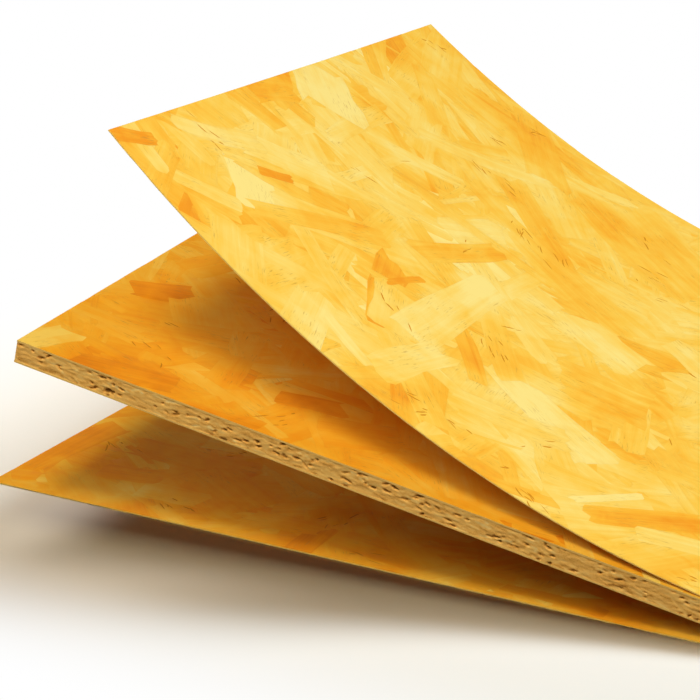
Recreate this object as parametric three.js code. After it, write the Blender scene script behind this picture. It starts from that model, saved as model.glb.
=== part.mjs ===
// A fanned stack of three strand panels of one size: a thin sheet flat on the floor, a thick
// board that rises from it towards its left end, and a thin sheet on top that curls up further.
// Millimetres, +Z up. X runs along the panels' length, Y across them, towards the back.

import * as THREE from 'three';
import { mergeVertices } from 'three/addons/utils/BufferGeometryUtils.js';

// Panels
const PANEL_LENGTH = 610;
const PANEL_WIDTH = 610;
const BOARD_THICKNESS = 18;
const SHEET_THICKNESS = 1.2;

// Clearance between two panels where one bears on the other
const SEAT_GAP = 0.3;

// How the thick board stands on the bottom sheet: its lower right edge is its foot
const BOARD_PITCH = THREE.MathUtils.degToRad(11.4);
const BOARD_TURN = THREE.MathUtils.degToRad(4.8);
const FOOT_INSET = 8.7;
const FOOT_BACK_OVERHANG = 4.6;

// How the top sheet lies on the board: flat near the right end, then curled up. It bends
// about lines that are turned a little from the panel's width, so its front corner leads.
const TOP_SHEET_TURN = THREE.MathUtils.degToRad(-1.5);
const BEND_TURN = THREE.MathUtils.degToRad(11.5);
const FLAT_LENGTH_AT_FRONT = 37.8;
const BEND_RADIUS_AT_LIFT = 755;
const BEND_RADIUS_AT_TIP = 1350;

// Facets of the curled sheet along its length, across its width and along the bend's path
const CURL_SEGMENTS_ALONG = 40;
const CURL_SEGMENTS_ACROSS = 12;
const CURL_PATH_STEPS = 64;

const STRAND_FACE_COLOR = 0xf3b64a;
const BOARD_COLOR = 0xd99a3c;
const PANEL_ROUGHNESS = 0.55;

function woodMaterial(color) {
  return new THREE.MeshStandardMaterial({ color, roughness: PANEL_ROUGHNESS, metalness: 0 });
}

function panelMesh(name, geometry, color) {
  const mesh = new THREE.Mesh(geometry, woodMaterial(color));
  mesh.name = name;
  return mesh;
}

// A flat panel from (0, 0, 0) towards +X, +Y and +Z
function flatPanel(thickness, segmentsAlong = 1, segmentsAcross = 1) {
  const panel = new THREE.BoxGeometry(
    PANEL_LENGTH, PANEL_WIDTH, thickness, segmentsAlong, segmentsAcross, 1,
  );
  return panel.translate(PANEL_LENGTH / 2, PANEL_WIDTH / 2, thickness / 2);
}

// Curvature falls evenly from the lift line to the tip, so the slope is a parabola of the
// distance bent through. The path's run and rise are its running sums.
function curlAt(bentLength, reach) {
  const liftCurvature = 1 / BEND_RADIUS_AT_LIFT;
  const curvatureChange = (1 / BEND_RADIUS_AT_TIP - liftCurvature) / reach;
  const slopeAt = (s) => liftCurvature * s + (curvatureChange * s * s) / 2;
  const step = bentLength / CURL_PATH_STEPS;
  let run = 0;
  let rise = 0;
  for (let i = 0; i < CURL_PATH_STEPS; i += 1) {
    const slope = slopeAt((i + 0.5) * step);
    run += Math.cos(slope) * step;
    rise += Math.sin(slope) * step;
  }
  return { run, rise, slope: slopeAt(bentLength) };
}

// The top sheet bent from its flat shape without stretch: each point keeps its distance along
// the sheet, and the part left of the lift line follows the curl.
function curledPanel(thickness) {
  const sheet = flatPanel(thickness, CURL_SEGMENTS_ALONG, CURL_SEGMENTS_ACROSS);
  const across = new THREE.Vector2(Math.cos(BEND_TURN), Math.sin(BEND_TURN));
  const liftAt = PANEL_LENGTH * across.x - FLAT_LENGTH_AT_FRONT;
  const points = sheet.attributes.position;
  for (let i = 0; i < points.count; i += 1) {
    const x = points.getX(i);
    const y = points.getY(i);
    const z = points.getZ(i);
    const bentLength = liftAt - (x * across.x + y * across.y);
    if (bentLength > 0) {
      const { run, rise, slope } = curlAt(bentLength, liftAt);
      const shift = bentLength - run + z * Math.sin(slope);
      points.setXYZ(i, x + shift * across.x, y + shift * across.y, rise + z * Math.cos(slope));
    }
  }
  sheet.deleteAttribute('normal');
  sheet.deleteAttribute('uv');
  const solid = mergeVertices(sheet);
  solid.computeVertexNormals();
  return solid;
}

function bottomSheet() {
  return panelMesh('bottom_sheet', flatPanel(SHEET_THICKNESS), STRAND_FACE_COLOR);
}

// The board's frame has its origin at the back end of its foot
function coreBoard() {
  const board = panelMesh('core_board', flatPanel(BOARD_THICKNESS), BOARD_COLOR);
  board.position.set(-PANEL_LENGTH, -PANEL_WIDTH, 0);
  return board;
}

// The top sheet turns about the board's front right corner
function topSheet() {
  const sheet = panelMesh('top_sheet', curledPanel(SHEET_THICKNESS), STRAND_FACE_COLOR);
  sheet.position.x = -PANEL_LENGTH;
  const turned = new THREE.Group();
  turned.add(sheet);
  turned.rotation.z = TOP_SHEET_TURN;
  turned.position.set(0, -PANEL_WIDTH, BOARD_THICKNESS + SEAT_GAP);
  return turned;
}

function raisedPanels() {
  const raised = new THREE.Group();
  raised.add(coreBoard(), topSheet());
  raised.rotation.order = 'ZYX';
  raised.rotation.set(0, BOARD_PITCH, BOARD_TURN);
  raised.position.set(
    PANEL_LENGTH - FOOT_INSET, PANEL_WIDTH + FOOT_BACK_OVERHANG, SHEET_THICKNESS + SEAT_GAP,
  );
  return raised;
}

// The stack's origin is the middle of its box on the floor
function stackOfPanels() {
  const panels = new THREE.Group();
  panels.add(bottomSheet(), raisedPanels());
  const box = new THREE.Box3().setFromObject(panels, true);
  panels.position.set(-(box.min.x + box.max.x) / 2, -(box.min.y + box.max.y) / 2, 0);
  const stack = new THREE.Group();
  stack.add(panels);
  return stack;
}

const stack = stackOfPanels();
export default stack;
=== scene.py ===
import math
from collections import namedtuple
from types import SimpleNamespace

import bpy
import numpy as np
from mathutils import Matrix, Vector
from mathutils.geometry import delaunay_2d_cdt
from mathutils.kdtree import KDTree


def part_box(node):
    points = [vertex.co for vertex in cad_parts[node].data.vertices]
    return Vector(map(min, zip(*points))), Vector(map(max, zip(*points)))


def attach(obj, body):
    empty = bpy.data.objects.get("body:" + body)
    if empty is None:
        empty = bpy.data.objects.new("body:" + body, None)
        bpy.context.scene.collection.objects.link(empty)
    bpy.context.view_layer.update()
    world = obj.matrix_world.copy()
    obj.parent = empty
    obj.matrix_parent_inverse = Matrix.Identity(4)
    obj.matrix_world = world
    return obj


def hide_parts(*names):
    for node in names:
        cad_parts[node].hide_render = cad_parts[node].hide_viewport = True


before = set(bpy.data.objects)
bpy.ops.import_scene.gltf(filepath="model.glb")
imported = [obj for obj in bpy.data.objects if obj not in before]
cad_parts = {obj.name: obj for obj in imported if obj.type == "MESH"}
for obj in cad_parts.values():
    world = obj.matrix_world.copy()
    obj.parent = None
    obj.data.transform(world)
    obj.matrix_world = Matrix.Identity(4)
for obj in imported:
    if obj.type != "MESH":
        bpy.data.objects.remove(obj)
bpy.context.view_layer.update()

# The panels, in millimetres. These repeat the CAD source's own sizes. All three are square.
MM = 0.001
SIDE = 610.0
BOARD_THICKNESS = 18.0
SHEET_THICKNESS = 1.2
SEAT_GAP = 0.3
BOARD_PITCH = math.radians(11.4)
BOARD_TURN = math.radians(4.8)
FOOT_INSET = 8.7
FOOT_BACK_OVERHANG = 4.6
TOP_SHEET_TURN = math.radians(-1.5)
BEND_TURN = math.radians(11.5)
FLAT_LENGTH_AT_FRONT = 37.8
BEND_RADIUS_AT_LIFT = 755.0
BEND_RADIUS_AT_TIP = 1350.0
CORNERS = np.array([[0, 0], [SIDE, 0], [SIDE, SIDE], [0, SIDE]])

# The strands. Here and below, a pair is the least and the most, lengths are in millimetres and
# angles in radians. Tones run from 0, pale, to 1, dark. Softness is how far a strand takes on the
# mean tone of those round it.
STRAND_LAYERS = 3.4
STRAND_MARGIN = 45.0
ALONG_SHARE, ALONG_SPREAD = 0.6, 0.6
SLIVER_SHARE = 0.16
SLIVER_LENGTHS, SLIVER_WIDTHS = (25, 90), (3, 9)
STRAND_LENGTHS = (50, 150)
STRAND_LOG_WIDTH, STRAND_LOG_SPREAD, STRAND_WIDEST = 3.25, 0.45, 75
NARROW_BELOW = 10
MEAN_TONE, NARROW_TONE_SPREAD, BROAD_TONE_SPREAD = 0.45, 0.27, 0.2
CRISP_SHARE, CRISP_SOFTNESS, FADED_SOFTNESS = 0.42, (0.05, 0.4), (0.5, 0.9)
GROUND_ANGLE, GROUND_TONE, GROUND_SOFTNESS = 0.3, 0.6, 0.9

# How uneven an outline is, in shares of the strand's own length or width.
TAPER, BOW, WOBBLE = 0.35, 0.035, 0.05
END_POINTS, END_HALF_WIDTH, END_RAGGED, END_SLANT = (2, 4), 0.72, (-0.06, 0.05), 0.3
SIDE_SHARE = 0.96

# Slits are short shallow cracks, in clusters of a few that lie side by side.
SLIT_CLUSTERS = 40
SLITS_IN_CLUSTER = (1, 7)
CLUSTER_TURN, SLIT_TURN = 0.7, 0.24
SLIT_SHIFT, SLIT_SPACING = 11, (1.5, 5.0)
SLIT_LENGTHS, SLIT_WIDTHS, SLIT_BOW = (4, 16), (0.6, 1.7), 0.1

# The relief of a face: how deep a strand is pressed at most, the heights of the bare ground and of
# slits, and how deep the lines between strands are.
STRAND_RELIEF = 0.13
GROUND_HEIGHT = -0.3
SLIT_HEIGHT = -0.32
LINE_DIP = 0.03

# The mesh of a face: a row of points on both sides of every line, and a loose grid between. The
# clearances are from the lines to a row's and to the grid's points, and from the border to both.
LINE_STEP = 9.0
ROW_OFFSET, ROW_STEP, ROW_CELL = 1.1, 5.5, 1.9
GRID_STEP, GRID_JITTER = 9.0, 0.25
ROW_CLEARANCE, GRID_CLEARANCE, BORDER_CLEARANCE = 0.8 * ROW_OFFSET, 3.0, 0.4
LINE_HALF_WIDTH, LINE_FADE = 0.3, 0.5 * ROW_OFFSET
STRAIGHT_WITHIN = 0.03
HAIR = 1e-3

# Points across the hidden faces. A ply's inner face has enough of them to follow the curl.
INNER_COLUMNS, INNER_ROWS = 40, 12
CAP_ROWS = 14

# The raster that gives the mean tone round a place.
BLUR_CELL = 2.0
BLUR_REACH = 11.0

# The board's two face plies, and the core of finer chips between them. The core's tones run the
# other way, from 0, dark, to 1, pale. Depths are how far a chip or void is set back. Its middle may
# lie a little past the ends and edges of the core's side.
FACE_PLY = 1.5
CORE_COLUMNS, CORE_ROWS = 840, 26
CORE_INSET = 0.15
CHIPS, CHIP_LENGTHS, CHIP_THICKNESSES, CHIP_TILT = 3600, (3, 20), (0.8, 2.4), 0.22
CHIP_TONE, CHIP_TONE_SPREAD, CHIP_DEPTHS = 0.5, 0.16, (0.0, 0.5)
PALE_SHARE, PALE_TONES = 0.06, (0.85, 1.0)
VOIDS, VOID_LENGTHS, VOID_THICKNESSES, VOID_TILT = 150, (1.5, 7), (0.8, 1.8), 0.3
VOID_DEPTHS = (1.2, 2.6)
BARE_TONE, BARE_DEPTH = 0.4, 0.3
PAST_ENDS, PAST_EDGES = 10, 0.5

SHARP_ANGLE = math.radians(38)

# A strand's number in the materials. The step isn't whole, so that noise differs for each strand.
NUMBER_START, NUMBER_STEP = 3.1, 0.731

Strand = namedtuple("Strand", "shape centre angle tone softness slit")


# ---------------------------------------------------------------- the pile of strands

def outline(rng, length, width):
    """A strand's outline about its middle: long sides nearly straight, ends broken off."""
    along = np.linspace(-0.5, 0.5, 5)
    half = 0.5 * width
    taper = rng.uniform(-TAPER, TAPER)
    bow = rng.uniform(-BOW, BOW) * length
    sides = []
    for sign in (1, -1):
        wobble = rng.normal(0, WOBBLE, len(along))
        y = sign * half * (1 + taper * along + wobble) + bow * (1 - 4 * along ** 2)
        sides.append(np.column_stack([along * length * SIDE_SHARE, y]))
    ends = []
    for sign in (1, -1):
        n = rng.integers(*END_POINTS, endpoint=True)
        y = np.linspace(END_HALF_WIDTH, -END_HALF_WIDTH, n) * sign * half * (1 + taper * 0.5 * sign)
        x = sign * length * (0.5 + rng.uniform(*END_RAGGED, n)) + rng.normal(0, END_SLANT) * y
        ends.append(np.column_stack([x, y]))
    return np.vstack([sides[0], ends[0], sides[1][::-1], ends[1]])


def slit_outline(rng, length, width):
    """A slit's outline about its middle: a bowed lens."""
    x = np.array([-0.5, -0.2, 0.25, 0.5, 0.2, -0.25])
    y = np.array([0.0, 0.5, 0.42, 0.0, -0.5, -0.4]) * width
    bow = rng.uniform(-SLIT_BOW, SLIT_BOW) * length
    return np.column_stack([x * length, y - 4 * bow * x ** 2])


def turned(points, angle, centre):
    c, s = math.cos(angle), math.sin(angle)
    return points @ np.array([[c, s], [-s, c]]) + centre


def strand_size(rng):
    """Length and width: mostly broad strands, with some slivers."""
    if rng.random() < SLIVER_SHARE:
        return rng.uniform(*SLIVER_LENGTHS), rng.uniform(*SLIVER_WIDTHS)
    length = rng.uniform(*STRAND_LENGTHS)
    return length, min(rng.lognormal(STRAND_LOG_WIDTH, STRAND_LOG_SPREAD), STRAND_WIDEST)


def scattered(rng):
    """Strands as they fall, until they cover the panel and its margin some layers deep.

    A row has a strand's middle, angle, length, width, tone and softness.
    """
    rows = []
    covered = 0.0
    while covered < STRAND_LAYERS * (SIDE + 2 * STRAND_MARGIN) ** 2:
        centre = rng.uniform(-STRAND_MARGIN, SIDE + STRAND_MARGIN, 2)
        along = rng.random() < ALONG_SHARE
        angle = rng.normal(0, ALONG_SPREAD) if along else rng.uniform(0, math.pi)
        length, width = strand_size(rng)
        spread = NARROW_TONE_SPREAD if width < NARROW_BELOW else BROAD_TONE_SPREAD
        tone = float(np.clip(rng.normal(MEAN_TONE, spread), 0, 1))
        crisp = rng.random() < CRISP_SHARE
        softness = rng.uniform(*(CRISP_SOFTNESS if crisp else FADED_SOFTNESS))
        rows.append((centre, angle, length, width, tone, softness))
        covered += length * width
    return rows


def slits(rng):
    """Each slit's middle, angle, length and width."""
    rows = []
    for _ in range(SLIT_CLUSTERS):
        place = rng.uniform(0, SIDE, 2)
        angle = rng.normal(0, CLUSTER_TURN)
        way = np.array([math.cos(angle), math.sin(angle)])
        side = np.array([-way[1], way[0]])
        for k in range(rng.integers(*SLITS_IN_CLUSTER, endpoint=True)):
            shift = way * rng.normal(0, SLIT_SHIFT)
            centre = place + shift + side * (k * rng.uniform(*SLIT_SPACING))
            length, width = rng.uniform(*SLIT_LENGTHS), rng.uniform(*SLIT_WIDTHS)
            rows.append((centre, angle + rng.normal(0, SLIT_TURN), length, width))
    return rows


def strand_pile(rng, heroes):
    """The pile of strands from the ground up: scattered ones, placed ones, and slits through all."""
    strands = scattered(rng)
    for u, v, degrees, *rest in heroes:
        strands.append((np.array([u, v]), math.radians(degrees), *rest))
    openings = slits(rng)
    middle = np.array([SIDE, SIDE]) / 2
    ground = np.array([[-1, -1], [1, -1], [1, 1], [-1, 1]]) * SIDE + middle
    pile = [Strand(ground, middle, GROUND_ANGLE, GROUND_TONE, GROUND_SOFTNESS, False)]
    for centre, angle, length, width, tone, softness in strands:
        shape = turned(outline(rng, length, width), angle, centre)
        pile.append(Strand(shape, centre, angle, tone, softness, False))
    for centre, angle, length, width in openings:
        shape = turned(slit_outline(rng, length, width), angle, centre)
        pile.append(Strand(shape, centre, angle, 1.0, 0.0, True))
    return pile


def inside(points, polygon):
    """Which points lie in a polygon, by counting crossings."""
    hit = np.zeros(len(points), bool)
    x, y = points[:, 0], points[:, 1]
    for (ax, ay), (bx, by) in zip(polygon, np.roll(polygon, -1, 0)):
        crosses = (ay > y) != (by > y)
        if ay != by:
            hit ^= crosses & (x < (bx - ax) * (y - ay) / (by - ay) + ax)
    return hit


def owners(points, pile):
    """For each point, the number of the topmost strand over it, and -1 off the panel."""
    found = np.zeros(len(points), int)
    order = np.argsort(points[:, 0])
    xs = points[order, 0]
    for i, strand in enumerate(pile):
        (x0, y0), (x1, y1) = strand.shape.min(0), strand.shape.max(0)
        near = order[np.searchsorted(xs, x0):np.searchsorted(xs, x1)]
        near = near[(points[near, 1] > y0) & (points[near, 1] < y1)]
        found[near[inside(points[near], strand.shape)]] = i
    found[(points < 0).any(1) | (points > SIDE).any(1)] = -1
    return found


# ---------------------------------------------------------------- the mosaic of a face

def triangulated(points, edges):
    verts, _edges, faces, *_ids = delaunay_2d_cdt(
        [Vector(p) for p in points.tolist()], edges, [], 0, HAIR, False)
    return np.array([tuple(v) for v in verts]), np.array(faces)


def seams(tris, owner):
    """The edges between triangles of different owners, or round the outside."""
    pairs = np.sort(np.vstack([tris[:, [0, 1]], tris[:, [1, 2]], tris[:, [2, 0]]]), axis=1)
    who = np.tile(owner, 3)
    keys, inverse, count = np.unique(pairs, axis=0, return_inverse=True, return_counts=True)
    low = np.full(len(keys), owner.max() + 1)
    high = np.full(len(keys), owner.min() - 1)
    np.minimum.at(low, inverse.ravel(), who)
    np.maximum.at(high, inverse.ravel(), who)
    return keys[(low != high) | ((count == 1) & (high >= 0))]


def on_border(points):
    """Points with those a hair off the panel's outline put on it."""
    points = np.where(np.abs(points) < HAIR, 0.0, points)
    return np.where(np.abs(points - SIDE) < HAIR, SIDE, points)


def straightened(points, edges):
    """Points and edges with the needless vertices along straight runs left out."""
    points = on_border(points)
    links = {}
    for a, b in edges.tolist():
        links.setdefault(a, set()).add(b)
        links.setdefault(b, set()).add(a)
    for v in list(links):
        if len(links[v]) != 2:
            continue
        a, b = links[v]
        p, q = points[v] - points[a], points[b] - points[v]
        turn = abs(p[0] * q[1] - p[1] * q[0])
        straight = turn < STRAIGHT_WITHIN * math.dist(points[a], points[b])
        corner = all(c in (0.0, SIDE) for c in points[v])
        if straight and b not in links[a] and not corner:
            links[a].discard(v)
            links[b].discard(v)
            links[a].add(b)
            links[b].add(a)
            del links[v]
    kept = sorted(links)
    number = {v: i for i, v in enumerate(kept)}
    return points[kept], [(number[a], number[b]) for a in kept for b in links[a] if a < b]


def divided(points, edges, longest):
    """Edges cut into equal parts, none over a length."""
    extra, parts = [points], []
    count = len(points)
    for a, b in edges:
        n = math.ceil(math.dist(points[a], points[b]) / longest)
        if n > 1:
            t = np.arange(1, n)[:, None] / n
            extra.append(points[a] + t * (points[b] - points[a]))
        chain = [a, *range(count, count + n - 1), b]
        count += n - 1
        parts += zip(chain, chain[1:])
    return np.vstack(extra), parts


def visible_lines(pile):
    """The lines between the strands that show, and round the panel, as points and edges."""
    points, edges = [], []
    count = 0
    for shape in (CORNERS, *(strand.shape for strand in pile)):
        n = len(shape)
        points.append(shape)
        edges += [(count + i, count + (i + 1) % n) for i in range(n)]
        count += n
    points, tris = triangulated(np.vstack(points), edges)
    owner = owners(points[tris].mean(1), pile)
    return divided(*straightened(points, seams(tris, owner)), LINE_STEP)


def tree_of(points):
    tree = KDTree(len(points))
    for i, (x, y) in enumerate(points.tolist()):
        tree.insert((x, y, 0), i)
    tree.balance()
    return tree


def distances(tree, points):
    return np.array([tree.find((x, y, 0))[2] for x, y in points.tolist()])


def along_edges(points, edges, step):
    """Points along edges, about a step apart, and the unit vectors to their left."""
    found, sides = [], []
    for a, b in edges:
        p, q = points[a], points[b]
        length = np.hypot(*(q - p))
        if length == 0:
            continue
        n = max(1, int(round(length / step)))
        t = (np.arange(n) + 0.5) / n
        found.append(p + t[:, None] * (q - p))
        sides.append(np.tile(np.array([p[1] - q[1], q[0] - p[0]]) / length, (n, 1)))
    return np.vstack(found), np.vstack(sides)


def thinned(points, cell):
    """The first point in each square cell."""
    _keys, first = np.unique(np.floor(points / cell).astype(int), axis=0, return_index=True)
    return points[np.sort(first)]


def filling(rng, corners, edges, line_tree):
    """Points between the lines: a row on both sides of each, and a loose grid."""
    middle, side = along_edges(corners, edges, ROW_STEP)
    rows = np.vstack([middle + ROW_OFFSET * side, middle - ROW_OFFSET * side])
    steps = np.arange(GRID_STEP / 2, SIDE, GRID_STEP)
    grid = np.stack(np.meshgrid(steps, steps), -1).reshape(-1, 2)
    grid = grid + rng.uniform(-GRID_JITTER, GRID_JITTER, grid.shape) * GRID_STEP

    def clear(spots, least):
        spots = spots[(spots > BORDER_CLEARANCE).all(1) & (spots < SIDE - BORDER_CLEARANCE).all(1)]
        return spots[distances(line_tree, spots) > least]

    rows = thinned(clear(rows, ROW_CLEARANCE), ROW_CELL)
    return np.vstack([rows, clear(grid, GRID_CLEARANCE)])


def blurred_tone(pile, tones):
    """The strands' tones, blurred over the panel, as a function of place."""
    n = int(SIDE / BLUR_CELL)
    at = (np.arange(n) + 0.5) * BLUR_CELL
    spots = np.stack(np.meshgrid(at, at, indexing="ij"), -1).reshape(-1, 2)
    raster = tones[owners(spots, pile)].reshape(n, n)
    reach = np.arange(-3 * BLUR_REACH, 3 * BLUR_REACH + 1, BLUR_CELL)
    weights = np.exp(-0.5 * (reach / BLUR_REACH) ** 2)
    weights /= weights.sum()
    pad = len(reach) // 2
    for _axis in range(2):
        padded = np.pad(raster, ((pad, pad), (0, 0)), mode="edge")
        raster = sum(w * padded[i:i + n] for i, w in enumerate(weights)).T

    def tone_at(points):
        f = np.clip(points / BLUR_CELL - 0.5, 0, n - 1.001)
        i = f.astype(int)
        x, y = i.T
        fx, fy = (f - i).T
        low = raster[x, y] * (1 - fx) + raster[x + 1, y] * fx
        high = raster[x, y + 1] * (1 - fx) + raster[x + 1, y + 1] * fx
        return low * (1 - fy) + high * fy

    return tone_at


def strand_face(seed, heroes):
    """One pressed face as a flat mosaic of the strands that show.

    It has points with a height each, triangles, and for each triangle's corners the strand they
    belong to, their tone, whether they are in a slit, and edge: 0 on a line, 1 inside a strand.
    """
    rng = np.random.default_rng(seed)
    pile = strand_pile(rng, heroes)
    tones = np.array([strand.tone for strand in pile])
    softness = np.array([strand.softness for strand in pile])
    slit = np.array([strand.slit for strand in pile])
    corners, edges = visible_lines(pile)
    samples, _sides = along_edges(corners, edges, 1.0)
    line_tree = tree_of(np.vstack([samples, corners]))
    fill = filling(rng, corners, edges, line_tree)
    points, tris = triangulated(np.vstack([corners, fill]), edges)
    owner = owners(points[tris].mean(1), pile)
    tris, owner = tris[owner >= 0], owner[owner >= 0]
    corner, who = tris.ravel(), np.repeat(owner, 3)

    heights = np.where(slit, SLIT_HEIGHT, -STRAND_RELIEF * rng.random(len(pile)))
    heights[0] = GROUND_HEIGHT
    height = np.zeros(len(points))
    np.minimum.at(height, corner, heights[who])
    edge = np.clip((distances(line_tree, points) - LINE_HALF_WIDTH) / LINE_FADE, 0, 1)
    height -= LINE_DIP * (1 - edge)
    mean_tone = blurred_tone(pile, tones)(points)[corner]
    tone = tones[who] + softness[who] * (mean_tone - tones[who])
    return SimpleNamespace(
        pile=pile, points=points, height=height, tris=tris,
        who=who, tone=tone, edge=edge[corner], slit=slit[who].astype(float))


# ---------------------------------------------------------------- where the panels lie

ORIGIN = np.array(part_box("bottom_sheet")[0]) / MM


def spun(x, y, angle):
    c, s = math.cos(angle), math.sin(angle)
    return x * c - y * s, x * s + y * c


def on_floor(p):
    """Points of the bottom sheet, from its flat place and height to the frame."""
    return p + ORIGIN


def on_board(p):
    """Points of the tilted board."""
    x, y, z = (p - (SIDE, SIDE, 0)).T
    x, z = spun(x, z, -BOARD_PITCH)
    x, y = spun(x, y, BOARD_TURN)
    foot = np.array([SIDE - FOOT_INSET, SIDE + FOOT_BACK_OVERHANG, SHEET_THICKNESS + SEAT_GAP])
    return np.column_stack([x, y, z]) + foot + ORIGIN


# The curl's path from its lift line to the sheet's tip, by length along the sheet.
REACH = SIDE * math.cos(BEND_TURN) - FLAT_LENGTH_AT_FRONT
CURL_S = np.linspace(0, REACH, 4001)
CURL_EASE = (1 / BEND_RADIUS_AT_TIP - 1 / BEND_RADIUS_AT_LIFT) / REACH
CURL_SLOPE = CURL_S / BEND_RADIUS_AT_LIFT + CURL_EASE * CURL_S ** 2 / 2
CURL_STEP = np.append(0, np.diff(CURL_S))
CURL_RUN = np.cumsum(np.cos(CURL_SLOPE) * CURL_STEP)
CURL_RISE = np.cumsum(np.sin(CURL_SLOPE) * CURL_STEP)


def on_curl(p):
    """Points of the top sheet, bent without stretch and laid on the board."""
    across = np.array([math.cos(BEND_TURN), math.sin(BEND_TURN)])
    bent = np.clip(REACH - p[:, :2] @ across, 0, None)
    slope, run, rise = (np.interp(bent, CURL_S, c) for c in (CURL_SLOPE, CURL_RUN, CURL_RISE))
    shift = bent - run + p[:, 2] * np.sin(slope)
    x, y = (p[:, :2] + shift[:, None] * across).T
    z = rise + p[:, 2] * np.cos(slope)
    x, y = spun(x - SIDE, y, TOP_SHEET_TURN)
    return on_board(np.column_stack([x + SIDE, y, z + BOARD_THICKNESS + SEAT_GAP]))


# ---------------------------------------------------------------- solid pieces

def border_loop(tris):
    """The vertices round the outside of a triangulation, in order, anticlockwise."""
    after = {}
    for t in tris.tolist():
        for a, b in ((t[0], t[1]), (t[1], t[2]), (t[2], t[0])):
            if after.get(b, {}).pop(a, None) is None:
                after.setdefault(a, {})[b] = True
    after = {a: next(iter(bs)) for a, bs in after.items() if bs}
    start = min(after)
    loop, v = [start], after[start]
    while v != start:
        loop.append(v)
        v = after[v]
    return np.array(loop)


def filled_ring(ring, columns, rows):
    """A plain face inside a ring of points: its points, the ring's first, and its triangles."""
    x = np.linspace(0, SIDE, columns + 2)[1:-1]
    y = np.linspace(0, SIDE, rows + 2)[1:-1]
    grid = np.stack(np.meshgrid(x, y), -1).reshape(-1, 2)
    edges = [(i, (i + 1) % len(ring)) for i in range(len(ring))]
    return triangulated(np.vstack([ring, grid]), edges)


def add_piece(name, node, verts, faces, material_index, materials, facts, uvs):
    """A mesh from places in millimetres and facts per corner, that stands for a CAD node."""
    mesh = bpy.data.meshes.new(name)
    mesh.from_pydata((verts * MM).tolist(), [], faces)
    mesh.polygons.foreach_set("material_index", material_index)
    mesh.polygons.foreach_set("use_smooth", np.ones(len(faces), bool))
    for m in materials:
        mesh.materials.append(m)
    for fact, values in facts.items():
        made = mesh.attributes.new(fact, "FLOAT_VECTOR", "CORNER")
        made.data.foreach_set("vector", values.astype(np.float32).ravel())
    layer = mesh.uv_layers.new(name="OFBake")
    layer.uv.foreach_set("vector", uvs.astype(np.float32).ravel())
    mesh.validate()
    mesh.set_sharp_from_angle(angle=SHARP_ANGLE)
    piece = bpy.data.objects.new(name, mesh)
    bpy.context.scene.collection.objects.link(piece)
    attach(piece, "root")
    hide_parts(node)
    return piece


def as_strands_see(places, face, who):
    """Places along and across the strands that they belong to, and those strands' numbers."""
    middles = np.array([strand.centre for strand in face.pile])
    angles = np.array([strand.angle for strand in face.pile])
    rel = places - middles[who]
    ca, sa = np.cos(angles[who]), np.sin(angles[who])
    along, across = rel[:, 0] * ca + rel[:, 1] * sa, rel[:, 1] * ca - rel[:, 0] * sa
    return np.column_stack([along, across, who * NUMBER_STEP + NUMBER_START])


# A ply's map for the bake: the outer face in the middle, the inner face in a strip below it, and
# the four rims in strips along the borders.
MAP_LOW, MAP_SPAN = 0.02, 0.96
INNER_LOW, INNER_SPAN = 0.003, 0.005
RIM_LOW, RIM_HIGH, RIM_SPAN = 0.011, 0.985, 0.004


def ply_map(places, inner_from, rim_from, rim_middles, rim_top):
    """The map from the corners' flat places. The rim's quads also need their middles, and which
    of their corners are at the outer face."""
    uv = MAP_LOW + MAP_SPAN * places[:, :2] / SIDE
    uv[inner_from:rim_from, 1] = INNER_LOW + INNER_SPAN * places[inner_from:rim_from, 1] / SIDE
    x, y = rim_middles.T
    side = np.repeat(np.argmin([y, SIDE - x, SIDE - y, x], axis=0), 4)[:, None]
    band = RIM_SPAN * rim_top
    u, v = uv[rim_from:].T
    uv[rim_from:] = np.select(
        [side == 0, side == 1, side == 2, side == 3],
        [np.column_stack([u, RIM_LOW + band]), np.column_stack([RIM_HIGH + band, v]),
         np.column_stack([u, RIM_HIGH + band]), np.column_stack([RIM_LOW + band, v])])
    return uv


def face_ply(name, node, place, seed, level, inner, materials, heroes=()):
    """A thin layer of a panel: the strand mosaic outside, plain inside, with its four rims."""
    face = strand_face(seed, heroes)
    up = level > inner
    n = len(face.points)
    loop = border_loop(face.tris)
    m = len(loop)
    back_xy, back = filled_ring(face.points[loop], INNER_COLUMNS, INNER_ROWS)
    outer = np.column_stack([face.points, level + (face.height if up else -face.height)])
    under = np.column_stack([back_xy, np.full(len(back_xy), float(inner))])
    flat = np.vstack([outer, under])

    # The faces turn round when the mosaic looks down, and so do its facts.
    tris = face.tris if up else face.tris[:, ::-1]
    back = n + (back[:, ::-1] if up else back)
    a, b = loop, np.roll(loop, -1)
    c, d = n + (np.arange(m) + 1) % m, n + np.arange(m)
    rim = np.column_stack([a, d, c, b] if up else [a, b, c, d])
    rim_top = np.tile([1, 0, 0, 1] if up else [1, 1, 0, 0], m)
    faces = tris.tolist() + back.tolist() + rim.tolist()
    material_index = np.repeat([0, 1], [len(tris), len(back) + len(rim)])
    corner = np.concatenate([tris.ravel(), back.ravel(), rim.ravel()])
    places = flat[corner]

    def facing(fact):
        return fact if up else fact.reshape(-1, 3)[:, ::-1].ravel()

    strand, look = np.zeros((len(corner), 3)), np.zeros((len(corner), 3))
    strand[:tris.size] = as_strands_see(places[:tris.size, :2], face, facing(face.who))
    look[:tris.size] = np.column_stack([facing(face.tone), facing(face.edge), facing(face.slit)])
    facts = {"strand": strand, "look": look, "flat": places}
    rim_middles = 0.5 * (face.points[a] + face.points[b])
    uv = ply_map(places, tris.size, tris.size + back.size, rim_middles, rim_top)
    return add_piece(name, node, place(flat), faces, material_index, materials, facts, uv)


# ---------------------------------------------------------------- the board's core

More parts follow.
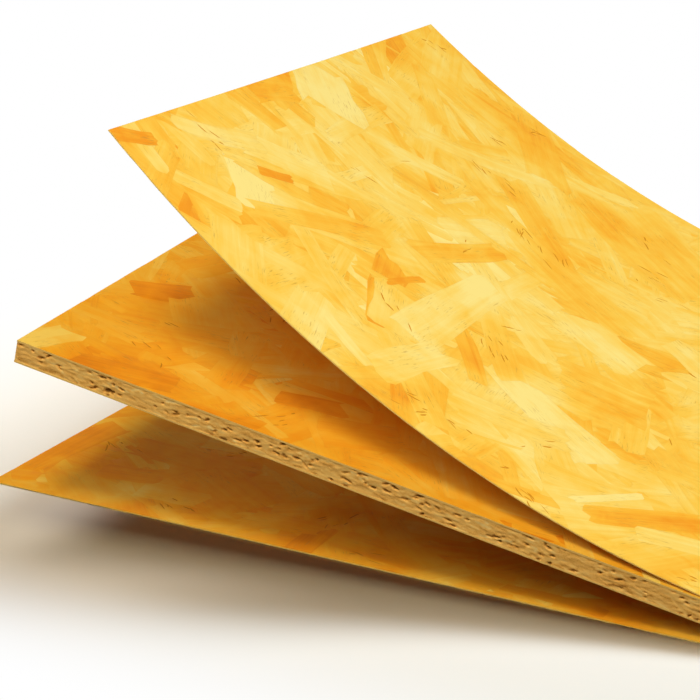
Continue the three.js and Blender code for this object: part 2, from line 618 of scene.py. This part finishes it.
def softened(raster):
    """A raster with each spot blended a little with its neighbours."""
    for _axis in range(2):
        padded = np.pad(raster, ((1, 1), (0, 0)), mode="edge")
        raster = (0.25 * padded[:-2] + 0.5 * padded[1:-1] + 0.25 * padded[2:]).T
    return raster


def chips(rng, height):
    """One side of the core as rasters over its columns and rows: how pale and how deep each spot is."""
    along_side = np.linspace(0, SIDE, CORE_COLUMNS + 1)
    s, z = np.meshgrid(along_side, np.linspace(0, height, CORE_ROWS + 1), indexing="ij")
    tone = np.full(s.shape, BARE_TONE)
    depth = np.full(s.shape, BARE_DEPTH)
    step = SIDE / CORE_COLUMNS

    def paint(length, thick, tilt, shade, dent):
        """A lens-shaped chip or void at a random place."""
        x0 = rng.uniform(-PAST_ENDS, SIDE + PAST_ENDS)
        z0 = rng.uniform(-PAST_EDGES, height + PAST_EDGES)
        low = max(0, int((x0 - length / 2) / step))
        high = min(CORE_COLUMNS + 1, int((x0 + length / 2) / step) + 2)
        if high <= low:
            return
        ds, dz = s[low:high] - x0, z[low:high] - z0
        along = ds * math.cos(tilt) + dz * math.sin(tilt)
        across = dz * math.cos(tilt) - ds * math.sin(tilt)
        lens = 1 - (2 * along / length) ** 2
        hit = (lens > 0) & (np.abs(across) < 0.5 * thick * np.sqrt(np.clip(lens, 0, 1)))
        tone[low:high][hit] = shade
        depth[low:high][hit] = dent

    for _ in range(CHIPS):
        shade = float(np.clip(rng.normal(CHIP_TONE, CHIP_TONE_SPREAD), 0, 1))
        if rng.random() < PALE_SHARE:
            shade = rng.uniform(*PALE_TONES)
        length, thick = rng.uniform(*CHIP_LENGTHS), rng.uniform(*CHIP_THICKNESSES)
        paint(length, thick, rng.normal(0, CHIP_TILT), shade, rng.uniform(*CHIP_DEPTHS))
    # Voids take the darkest tone, as painted shade in them.
    for _ in range(VOIDS):
        length, thick = rng.uniform(*VOID_LENGTHS), rng.uniform(*VOID_THICKNESSES)
        paint(length, thick, rng.normal(0, VOID_TILT), 0.0, rng.uniform(*VOID_DEPTHS))
    return softened(tone), softened(depth)


def core_walls(rng, low, high):
    """The core's four sides as one ring of columns: each vertex's place, and its tone, depth and run."""
    rows = CORE_ROWS + 1
    verts = np.zeros((4 * CORE_COLUMNS, rows, 3))
    look = np.zeros((4 * CORE_COLUMNS, rows, 3))
    s = np.linspace(0, SIDE, CORE_COLUMNS + 1)[:-1]
    room = 0.5 * np.minimum(s, SIDE - s)
    for side in range(4):
        start, end = CORNERS[side], CORNERS[(side + 1) % 4]
        way = (end - start) / SIDE
        inward = np.array([-way[1], way[0]])
        tone, depth = chips(rng, high - low)
        inset = np.minimum(depth[:-1], CORE_INSET + room[:, None])
        inset[:, [0, -1]] = CORE_INSET
        inset[0] = CORE_INSET
        base = start + s[:, None] * way
        part = slice(side * CORE_COLUMNS, (side + 1) * CORE_COLUMNS)
        verts[part, :, :2] = base[:, None] + inset[..., None] * inward
        verts[side * CORE_COLUMNS, :, :2] += CORE_INSET * way
        verts[part, :, 2] = np.linspace(low, high, rows)
        look[part] = np.stack([tone[:-1], depth[:-1], np.tile(s[:, None], (1, rows))], -1)
    return verts, look


# The core's map for the bake: each third of a side is a strip of its own, so there are 12, and
# the two hidden caps lie side by side in a strip above them.
THIRD = CORE_COLUMNS // 3
STRIPS = 13
STRIP_LOW, STRIP_SPAN = 0.06, 0.84
CAP_LOW, CAP_SPAN, CAP_SHIFT = (MAP_LOW, 12.2 / STRIPS), (0.45, 0.05), 0.5


def core_map(caps):
    """The map of the walls' quads, and of the caps' triangles from their corners' places."""
    column = np.repeat(np.arange(4 * CORE_COLUMNS), CORE_ROWS)
    strip = (column // THIRD)[:, None]
    s = np.stack([column, column + 1, column + 1, column], -1) - strip * THIRD
    row = np.tile(np.arange(CORE_ROWS), 4 * CORE_COLUMNS)
    h = np.stack([row, row, row + 1, row + 1], -1) / CORE_ROWS
    u, v = MAP_LOW + MAP_SPAN * s / THIRD, (strip + STRIP_LOW + STRIP_SPAN * h) / STRIPS
    cap_map = caps / SIDE * CAP_SPAN + CAP_LOW
    cap_map[len(cap_map) // 2:, 0] += CAP_SHIFT
    return np.vstack([np.stack([u, v], -1).reshape(-1, 2), cap_map])


def board_core(seed, materials):
    """The core of the board: fine chips seen on edge, with small voids between them."""
    low, high = FACE_PLY, BOARD_THICKNESS - FACE_PLY
    verts, look = core_walls(np.random.default_rng(seed), low, high)
    n, rows = verts.shape[:2]
    cap_xy, cap = filled_ring(verts[:, 0, :2], CAP_ROWS, CAP_ROWS)
    inner = cap_xy[n:]
    foot = np.column_stack([inner, np.full(len(inner), low)])
    head = np.column_stack([inner, np.full(len(inner), high)])
    flat = np.vstack([verts.reshape(-1, 3), foot, head])

    # The wall's vertices are numbered by column and then row, and the caps share its first and
    # last rows.
    wall = np.arange(n * rows).reshape(n, rows)
    after = np.roll(wall, -1, 0)
    quads = np.stack([wall[:, :-1], after[:, :-1], after[:, 1:], wall[:, 1:]], -1).reshape(-1, 4)
    in_foot = np.concatenate([wall[:, 0], n * rows + np.arange(len(inner))])
    in_head = np.concatenate([wall[:, -1], n * rows + len(inner) + np.arange(len(inner))])
    caps = np.vstack([in_foot[cap][:, ::-1], in_head[cap]])
    faces = quads.tolist() + caps.tolist()
    corner = np.concatenate([quads.ravel(), caps.ravel()])
    looks = np.vstack([look.reshape(-1, 3), np.zeros((2 * len(inner), 3))])[corner]
    facts = {"look": looks, "flat": flat[corner]}
    return add_piece(
        "board_core", "core_board", on_board(flat), faces, np.zeros(len(faces), int),
        materials, facts, core_map(flat[caps.ravel(), :2]))


# ---------------------------------------------------------------- materials

# The noises that mark the wood. A scale is how many features there are per millimetre on each of
# three axes. A strand's number or a seed on the third axis gives each its own pattern.
Noise = namedtuple("Noise", "scale detail roughness distortion")
BANDS = Noise((0.008, 0.13, 1.0), 2.5, 0.55, 0.7)
FIBRES = Noise((0.03, 1.3, 1.7), 3.0, 0.6, 0.3)
BLOTCHES = Noise((0.013, 0.013, 1.0), 2.0, 0.5, 0.6)
CLOUDS = Noise((0.05, 0.05, 1.0), 2.0, 0.5, 0.8)
FLECKS = Noise((0.11, 1.05, 2.3), 2.0, 0.5, 0.2)
FLECK_CLUSTERS = Noise((0.03, 0.03, 1.0), 1.0, 0.5, 0.0)
SAWN_GRAIN = Noise((0.25, 0.02, 2.2), 3.0, 0.6, 0.2)
CHIP_STREAKS = Noise((0.4, 2.2, 0.01), 3.0, 0.6, 0.6)
CHIP_GRAIN = Noise((1.1, 3.8, 0.02), 2.0, 0.55, 0.2)

# Each mark's linear colour and how strongly it shows, and then the values between which some of them
# fade in. The line round a strand is partly its joint and partly painted shade in the groove; the slits
# and voids are darkened with painted shade.
FLECK_COLOUR, FLECK_STRENGTH = (0.5, 0.23, 0.03, 1), 0.55
GROOVE_SHADE_COLOUR, GROOVE_SHADE_STRENGTH = (0.6, 0.25, 0.03, 1), 0.16
SLIT_SHADE_COLOUR, SLIT_SHADE_STRENGTH = (0.40, 0.18, 0.015, 1), 0.45
VOID_SHADE_COLOUR, VOID_SHADE_STRENGTH = (0.16, 0.065, 0.012, 1), 0.7
FLECK_FADE, CLUSTER_FADE = (0.58, 0.72), (0.48, 0.62)
GROOVE_SHADE_PICK = (0.55, 1.0)
VOID_SHADE_FADE = (0.8, 2.0)

CHIP_RAMP = (
    (0.0, (0.36, 0.14, 0.02)), (0.25, (0.76, 0.35, 0.06)), (0.5, (0.97, 0.51, 0.11)),
    (0.75, (0.97, 0.57, 0.14)), (1.0, (0.98, 0.68, 0.24)))
CUT_DARK, CUT_LIGHT, PALEST = 0.7, 1.1, 0.98
STRAND_ROUGHNESS, CUT_ROUGHNESS, CHIP_ROUGHNESS = 0.5, 0.75, 0.8
STRAND_SPECULAR, CUT_SPECULAR = 0.02, 0.03

# How deep the bump looks, in metres.
STRAND_BUMP, CHIP_BUMP, BUMP_STRENGTH = 0.00012, 0.0003, 0.6


class Shader:
    """A node tree, with short calls for its nodes. A number or a socket can go in any place."""

    def __init__(self, owner):
        owner.use_nodes = True
        self.owner = owner
        self.tree = owner.node_tree
        self.surface = self.tree.nodes.get("Principled BSDF")

    def surface_is(self, node):
        output = next(n for n in self.tree.nodes if n.bl_idname.startswith("ShaderNodeOutput"))
        self.tree.links.new(node.outputs[0], output.inputs["Surface"])

    def put(self, socket, value):
        if isinstance(value, bpy.types.NodeSocket):
            self.tree.links.new(value, socket)
        elif value is not None:
            socket.default_value = value

    def node(self, kind, *values, **options):
        """A new node, with values for its first inputs and options for its own settings."""
        made = self.tree.nodes.new("ShaderNode" + kind)
        for key, value in options.items():
            setattr(made, key, value)
        for socket, value in zip(made.inputs, values):
            self.put(socket, value)
        return made

    def math(self, operation, *values):
        return self.node("Math", *values, operation=operation).outputs[0]

    def vector(self, operation, *values):
        return self.node("VectorMath", *values, operation=operation).outputs["Vector"]

    def fact(self, name):
        """The three parts of a fact that the mesh holds for each corner."""
        made = self.node("SeparateXYZ", self.node("Attribute", attribute_name=name).outputs["Vector"])
        return tuple(made.outputs)

    def noise(self, kind, *axes):
        axes = [self.math("MULTIPLY", axis, scale) for axis, scale in zip(axes, kind.scale)]
        made = self.node("TexNoise")
        self.put(made.inputs["Vector"], self.node("CombineXYZ", *axes).outputs[0])
        made.inputs["Scale"].default_value = 1.0
        made.inputs["Detail"].default_value = kind.detail
        made.inputs["Roughness"].default_value = kind.roughness
        made.inputs["Distortion"].default_value = kind.distortion
        return made.outputs["Fac"]

    def ramp(self, value, *stops):
        """A colour for a value, from stops of a value and a colour each."""
        made = self.node("ValToRGB", value)
        ramp = made.color_ramp
        while len(ramp.elements) < len(stops):
            ramp.elements.new(0.5)
        for element, (at, colour) in zip(ramp.elements, stops):
            element.position = at
            element.color = (*colour, 1)
        return made.outputs[0]

    def between(self, value, low, high):
        """0 below low, 1 above high and smooth between."""
        return self.node("MapRange", value, low, high, interpolation_type="SMOOTHSTEP").outputs[0]

    def mix(self, factor, a, b):
        made = self.node("Mix", data_type="RGBA")
        self.put(made.inputs["Factor"], factor)
        self.put(made.inputs[6], a)
        self.put(made.inputs[7], b)
        return made.outputs[2]

    def sum(self, first, *terms):
        """first plus (value - middle) * weight for each term."""
        total = first
        for value, middle, weight in terms:
            total = self.math("MULTIPLY_ADD", self.math("SUBTRACT", value, middle), weight, total)
        return total

    def bump(self, height, distance):
        made = self.node("Bump")
        made.inputs["Strength"].default_value = BUMP_STRENGTH
        made.inputs["Distance"].default_value = distance
        self.put(made.inputs["Height"], height)
        self.put(self.surface.inputs["Normal"], made.outputs[0])


def strand_wood(name, colours, seed):
    """Pressed strands with a dull finish. The colours run from the palest strands to the darkest."""
    s = Shader(bpy.data.materials.new(name))
    along, across, number = s.fact("strand")
    tone, edge, slit = s.fact("look")
    u, v, _w = s.fact("flat")

    # Bands and fibres run along each strand. Blotches and clouds lie over all the strands.
    bands = s.noise(BANDS, along, across, number)
    fibres = s.noise(FIBRES, along, across, number)
    blotches = s.noise(BLOTCHES, u, v, seed)
    clouds = s.noise(CLOUDS, u, v, seed + 5.0)
    tone = s.sum(
        tone, (bands, 0.5, 0.5), (fibres, 0.5, 0.2), (blotches, 0.5, 0.9), (clouds, 0.5, 0.4))
    colour = s.ramp(tone, *zip((0.0, 0.25, 0.5, 0.75, 1.0), colours))

    # Short dark flecks lie in clusters.
    fleck = s.between(s.noise(FLECKS, along, across, number), *FLECK_FADE)
    cluster = s.between(s.noise(FLECK_CLUSTERS, u, v, seed + 9.0), *CLUSTER_FADE)
    dark = s.math("MULTIPLY", fleck, cluster)
    colour = s.mix(s.math("MULTIPLY", dark, FLECK_STRENGTH), colour, FLECK_COLOUR)

    # Some strands, picked by their number, have a fine darker line round them: partly their joint,
    # partly painted shade in the groove there.
    pick = s.node("TexWhiteNoise", None, number, noise_dimensions="1D").outputs["Value"]
    strength = s.math("MULTIPLY", s.between(pick, *GROOVE_SHADE_PICK), GROOVE_SHADE_STRENGTH)
    groove_shade = s.math("MULTIPLY", s.math("SUBTRACT", 1.0, edge), strength)
    colour = s.mix(groove_shade, colour, GROOVE_SHADE_COLOUR)
    # The slits are darkened inside with painted shade.
    colour = s.mix(s.math("MULTIPLY", slit, SLIT_SHADE_STRENGTH), colour, SLIT_SHADE_COLOUR)

    rough = s.sum(STRAND_ROUGHNESS, (fibres, 0.5, 0.25), (slit, 0.0, 0.3))
    s.put(s.surface.inputs["Base Color"], colour)
    s.put(s.surface.inputs["Roughness"], rough)
    s.put(s.surface.inputs["Specular IOR Level"], STRAND_SPECULAR)
    s.bump(s.sum(0.0, (fibres, 0.5, 0.6), (bands, 0.5, 0.5), (dark, 0.0, -0.6)), STRAND_BUMP)
    return s.owner


def cut_wood(name, pale):
    """The sawn rim of a thin layer."""
    s = Shader(bpy.data.materials.new(name))
    u, v, w = s.fact("flat")
    grain = s.noise(SAWN_GRAIN, s.math("ADD", u, v), s.math("SUBTRACT", u, v), w)
    dark = tuple(CUT_DARK * c for c in pale)
    light = tuple(min(PALEST, CUT_LIGHT * c) for c in pale)
    s.put(s.surface.inputs["Base Color"], s.ramp(grain, (0.25, dark), (0.5, pale), (0.75, light)))
    s.put(s.surface.inputs["Roughness"], CUT_ROUGHNESS)
    s.put(s.surface.inputs["Specular IOR Level"], CUT_SPECULAR)
    return s.owner


def chip_wood(name):
    """The sawn edge of the board's core: tan chips, pale ones among them, and voids darkened with
    painted shade, the more so the deeper they are.
    """
    s = Shader(bpy.data.materials.new(name))
    tone, depth, run_of_side = s.fact("look")
    u, v, w = s.fact("flat")
    run = s.math("ADD", u, v)
    streaks = s.noise(CHIP_STREAKS, run, w, run_of_side)
    grain = s.noise(CHIP_GRAIN, run, w, run_of_side)
    colour = s.ramp(s.sum(tone, (streaks, 0.5, 0.7), (grain, 0.5, 0.6)), *CHIP_RAMP)
    # Painted shade: the deeper a void, the darker it is made.
    hollow_shade = s.between(depth, *VOID_SHADE_FADE)
    colour = s.mix(s.math("MULTIPLY", hollow_shade, VOID_SHADE_STRENGTH), colour, VOID_SHADE_COLOUR)
    s.put(s.surface.inputs["Base Color"], colour)
    s.put(s.surface.inputs["Roughness"], CHIP_ROUGHNESS)
    s.put(s.surface.inputs["Specular IOR Level"], CUT_SPECULAR)
    s.bump(s.sum(0.0, (streaks, 0.5, 0.5), (grain, 0.5, 0.7)), CHIP_BUMP)
    return s.owner


# ---------------------------------------------------------------- camera and studio

CAMERA_PLACE = (1.04131, -2.13176, 0.92480)
CAMERA_AZIMUTH, CAMERA_ELEVATION = math.radians(29.7), math.radians(19.7)
FOCAL_LENGTH, SENSOR_WIDTH = 164.571, 36.0
NEAREST, FARTHEST = 0.05, 50.0

# Azimuth is 0 at the front and 90 at the right. It and the elevation are in degrees, the size is
# in metres and the power in watts.
Lamp = namedtuple("Lamp", "name azimuth elevation size power colour")
WHITE = (1.0, 1.0, 1.0)
PANEL_LAMPS = (
    Lamp("key_front", 0, 45, (1.0, 1.0), 15.0, WHITE),
    Lamp("key_top", 0, 60, (0.5, 0.5), 21.0, WHITE),
    Lamp("key_back_right", 150, 45, (1.2, 0.6), 26.0, WHITE),
    Lamp("fill_left", 270, 20, (1.0, 1.0), 14.5, WHITE),
    Lamp("fill_right", 95, 12, (1.0, 1.0), 9.0, WHITE))
UNDERSIDE_LAMPS = (
    Lamp("fill_back", 180, 15, (1.0, 1.0), 12.0, WHITE),
    Lamp("fill_back_left", 230, 15, (1.0, 1.0), 8.0, WHITE))
FLOOR_LAMPS = (
    Lamp("floor_back_right", 162, 52, (2.2, 1.1), 116.0, (0.80, 0.92, 1.0)),
    Lamp("floor_back_left", 240, 60, (2.2, 1.1), 72.0, (1.0, 0.88, 0.72)),
    Lamp("floor_top", 0, 88, (2.2, 1.1), 28.0, (1.0, 0.80, 0.45)))
PANEL_LAMP_DISTANCE = 2.2
FLOOR_LAMP_DISTANCE = 4.0
LAMP_TARGET = Vector((0, 0, 0.1))
SKY_COLOUR, SKY_LIGHT = (1.0, 0.85, 0.6, 1), 0.04

# The floor turns evenly white between these distances from a square of the panels' size at the
# origin, in metres. What it throws back is dull, so that it hardly lights the panels from below.
FLOOR_FADE = (0.08, 0.26)
FLOOR_HALF_SIZE = 6.0
FLOOR_BOUNCE = (0.2, 0.2, 0.2, 1)


def way_to(azimuth, elevation):
    """The unit vector towards an azimuth and elevation."""
    level = math.cos(elevation)
    return Vector((math.sin(azimuth) * level, -math.cos(azimuth) * level, math.sin(elevation)))


def aimed(name, data, place, way):
    """An object for a camera or lamp, that looks along a vector."""
    made = bpy.data.objects.new(name, data)
    made.location = place
    made.rotation_mode = "QUATERNION"
    made.rotation_quaternion = way.to_track_quat("-Z", "Y")
    bpy.context.scene.collection.objects.link(made)
    return made


def add_camera():
    data = bpy.data.cameras.new("camera")
    data.sensor_width = SENSOR_WIDTH
    data.lens = FOCAL_LENGTH
    data.clip_start, data.clip_end = NEAREST, FARTHEST
    look = -way_to(CAMERA_AZIMUTH, CAMERA_ELEVATION)
    bpy.context.scene.camera = aimed("camera", data, CAMERA_PLACE, look)


def add_lamp(lamp, distance, lit):
    """A soft lamp aimed at the stack, that lights only some objects."""
    place = way_to(math.radians(lamp.azimuth), math.radians(lamp.elevation)) * distance
    data = bpy.data.lights.new(lamp.name, "AREA")
    data.shape = "RECTANGLE"
    data.size, data.size_y = lamp.size
    data.energy = lamp.power
    data.color = lamp.colour
    receivers = bpy.data.collections.new(lamp.name + "_lit")
    for ob in lit:
        receivers.objects.link(ob)
    made = aimed(lamp.name, data, place, LAMP_TARGET - place)
    made.light_linking.receiver_collection = receivers


def seen_directly(shader):
    """1 for what the camera sees, also in a reflection or through glass."""
    path = shader.node("LightPath").outputs
    seen = shader.math("MAXIMUM", path["Is Camera Ray"], path["Is Glossy Ray"])
    return shader.math("MAXIMUM", seen, path["Is Transmission Ray"])


def add_sky():
    world = bpy.data.worlds.new("studio")
    bpy.context.scene.world = world
    sky = Shader(world)
    dim = sky.node("Background", SKY_COLOUR, SKY_LIGHT)
    white = sky.node("Background", (1, 1, 1, 1), 1.0)
    sky.surface_is(sky.node("MixShader", seen_directly(sky), dim.outputs[0], white.outputs[0]))


def floor_paint():
    """White paint that keeps the shadow near the stack, and is evenly white away from it."""
    s = Shader(bpy.data.materials.new("floor_paint"))
    bounce = s.node("BsdfDiffuse", FLOOR_BOUNCE)
    shaded = s.node("BsdfDiffuse", (1, 1, 1, 1))
    white = s.node("Emission", (1, 1, 1, 1), 1.0)
    off = s.vector("ABSOLUTE", s.node("NewGeometry").outputs["Position"])
    off = s.vector("SUBTRACT", off, (SIDE / 2 * MM, SIDE / 2 * MM, 1.0))
    off = s.vector("MAXIMUM", off, (0.0, 0.0, 0.0))
    reach = s.node("VectorMath", off, operation="LENGTH").outputs["Value"]
    pale = s.node("MixShader", s.between(reach, *FLOOR_FADE), shaded.outputs[0], white.outputs[0])
    s.surface_is(s.node("MixShader", seen_directly(s), bounce.outputs[0], pale.outputs[0]))
    return s.owner


def add_floor():
    mesh = bpy.data.meshes.new("floor")
    h = FLOOR_HALF_SIZE
    mesh.from_pydata([(-h, -h, 0), (h, -h, 0), (h, h, 0), (-h, h, 0)], [], [(0, 1, 2, 3)])
    mesh.materials.append(floor_paint())
    floor = bpy.data.objects.new("floor", mesh)
    bpy.context.scene.collection.objects.link(floor)
    return floor


def studio(pieces):
    bpy.context.scene.view_settings.view_transform = "Standard"
    add_sky()
    floor = add_floor()
    undersides = [piece for piece in pieces if piece.name.endswith(("_back", "_core"))]
    for lamp in PANEL_LAMPS:
        add_lamp(lamp, PANEL_LAMP_DISTANCE, pieces)
    for lamp in UNDERSIDE_LAMPS:
        add_lamp(lamp, PANEL_LAMP_DISTANCE, undersides)
    for lamp in FLOOR_LAMPS:
        add_lamp(lamp, FLOOR_LAMP_DISTANCE, [floor])


# ---------------------------------------------------------------- the stack

# Strands that stand out in the picture: middle from the left end and the front edge, angle in
# degrees, length, width, tone from pale to dark, and softness.
TOP_STRANDS = (
    (205, 285, 70, 105, 24, 0.75, 0.4), (285, 145, -50, 70, 18, 0.8, 0.45),
    (375, 220, 15, 75, 60, 0.65, 0.6), (295, 520, -30, 130, 100, 0.6, 0.7),
    (155, 560, -55, 125, 40, 0.65, 0.6), (475, 70, 45, 100, 26, 0.85, 0.4),
    (440, 70, 60, 65, 8, 0.0, 0.2), (500, 55, 25, 55, 22, 0.05, 0.4),
    (340, 300, -20, 75, 50, 0.2, 0.75), (245, 190, 90, 160, 38, 0.05, 0.6),
    (265, 80, 80, 90, 30, 0.1, 0.6), (70, 190, 50, 95, 32, 0.1, 0.6),
    (30, 135, 65, 100, 20, 0.1, 0.5), (10, 260, 75, 60, 28, 0.8, 0.3),
    (10, 25, 70, 50, 14, 1.0, 0.2), (25, 340, -35, 62, 68, 0.0, 0.15),
    (205, 180, 75, 45, 7, 1.0, 0.2), (80, 160, 60, 36, 10, 1.0, 0.2))
BOARD_STRANDS = (
    (12, 20, 65, 50, 28, 0.0, 0.2), (85, 12, 15, 80, 32, 0.95, 0.4),
    (90, 105, 20, 60, 46, 0.5, 0.5), (210, 70, 20, 50, 24, 0.85, 0.3),
    (168, 5, 10, 60, 16, 0.9, 0.3), (260, 50, 30, 60, 44, 0.6, 0.5))
BOTTOM_STRANDS = (
    (15, 90, 85, 115, 30, 0.75, 0.4), (135, 45, 0, 55, 28, 0.2, 0.4),
    (85, 65, 10, 50, 27, 0.8, 0.3), (240, 40, 5, 65, 25, 0.5, 0.4))

# Linear colours, from the palest strands to the darkest.
TOP_COLOURS = (
    (0.87, 0.69, 0.21), (0.87, 0.61, 0.125), (0.87, 0.525, 0.06), (0.86, 0.42, 0.027),
    (0.82, 0.30, 0.012))
BOARD_COLOURS = (
    (0.94, 0.61, 0.096), (0.93, 0.49, 0.042), (0.92, 0.40, 0.018), (0.89, 0.32, 0.010),
    (0.76, 0.22, 0.006))
# The bottom sheet is the board's wood made darker all over, as painted shade from the panels above it.
BOTTOM_SHADED_COLOURS = (
    (0.86, 0.55, 0.084), (0.85, 0.44, 0.037), (0.84, 0.36, 0.016), (0.81, 0.28, 0.008),
    (0.69, 0.20, 0.005))
# The backs are the same wood painted darker and duller than the faces: painted shade, which also throws
# back less light into the gaps between the panels.
BACK_SHADE_COLOURS = (
    (0.78, 0.52, 0.13), (0.75, 0.45, 0.09), (0.70, 0.37, 0.055), (0.62, 0.29, 0.03),
    (0.48, 0.20, 0.02))
SHEET_RIM_COLOUR = (0.95, 0.61, 0.13)
BOARD_RIM_COLOUR = (0.97, 0.58, 0.14)


def sheet_plies(name, place, seed, wood, back_shaded_wood, rim, heroes):
    """The face and the back of a thin sheet, that meet halfway through it."""
    half = SHEET_THICKNESS / 2
    face = face_ply(
        name + "_face", name, place, seed, level=SHEET_THICKNESS, inner=half,
        materials=(wood, rim), heroes=heroes)
    back = face_ply(
        name + "_back", name, place, seed + 1, level=0.0, inner=half,
        materials=(back_shaded_wood, rim))
    return [face, back]


def board_plies(seed, wood, back_shaded_wood, rim):
    """The face and the back of the board, with room for its core between them."""
    face = face_ply(
        "board_face", "core_board", on_board, seed, level=BOARD_THICKNESS,
        inner=BOARD_THICKNESS - FACE_PLY, materials=(wood, rim), heroes=BOARD_STRANDS)
    back = face_ply(
        "board_back", "core_board", on_board, seed + 1, level=0.0,
        inner=FACE_PLY, materials=(back_shaded_wood, rim))
    return [face, back]


def add_stack():
    """The seven pieces: a face and a back for each panel, and the board's core."""
    sheet_rim = cut_wood("sheet_rim", SHEET_RIM_COLOUR)
    board_rim = cut_wood("board_rim", BOARD_RIM_COLOUR)
    bottom_shaded_wood = strand_wood("bottom_strands_shaded", BOTTOM_SHADED_COLOURS, seed=1.0)
    board_wood = strand_wood("board_strands", BOARD_COLOURS, seed=2.0)
    top_wood = strand_wood("top_strands", TOP_COLOURS, seed=3.0)
    back_shaded_wood = strand_wood("back_strands_shaded", BACK_SHADE_COLOURS, seed=4.0)
    top = sheet_plies("top_sheet", on_curl, 11, top_wood, back_shaded_wood, sheet_rim, TOP_STRANDS)
    board = board_plies(21, board_wood, back_shaded_wood, board_rim)
    bottom = sheet_plies(
        "bottom_sheet", on_floor, 31, bottom_shaded_wood, back_shaded_wood, sheet_rim, BOTTOM_STRANDS)
    core = board_core(51, (chip_wood("board_chips"),))
    return [*top, *board, *bottom, core]


pieces = add_stack()
add_camera()
studio(pieces)
